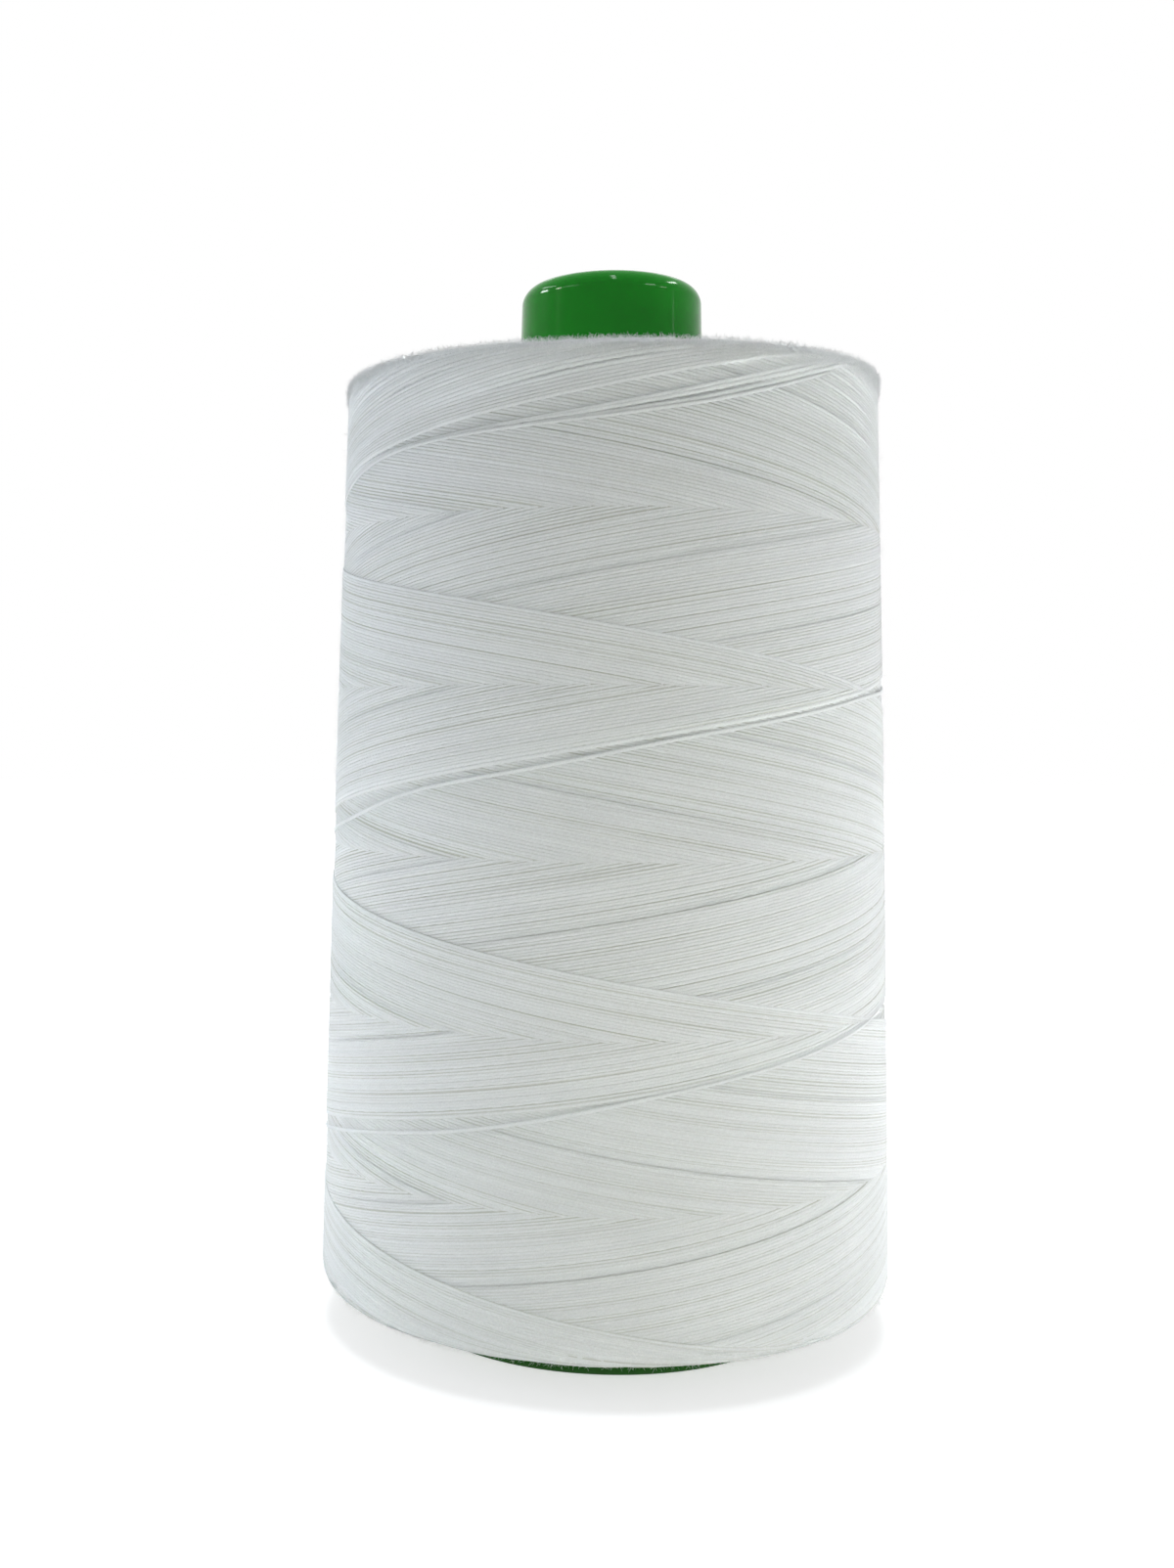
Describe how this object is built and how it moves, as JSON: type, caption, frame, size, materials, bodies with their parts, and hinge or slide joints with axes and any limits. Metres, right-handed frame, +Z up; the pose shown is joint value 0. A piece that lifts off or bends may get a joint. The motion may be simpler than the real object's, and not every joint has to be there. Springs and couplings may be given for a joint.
{
  "type": "cone of sewing thread",
  "caption": "Tall tapered cone of white sewing thread, cross-wound on a hollow green plastic core with a rounded nose.",
  "frame": {"origin": "centre of the cone's foot, on its underside", "axes": "+Z up along the cone's axis towards its nose; -Y is the side the picture shows"},
  "size_m": [0.0934, 0.0937, 0.17],
  "materials": {
    "core_plastic": "glossy moulded green plastic",
    "thread": "off-white spun thread, soft sheen"
  },
  "bodies": {
    "root": {"core_cone": "core_plastic", "thread_winding": "thread", "last_wrap": "thread"}
  },
  "joints": []
}
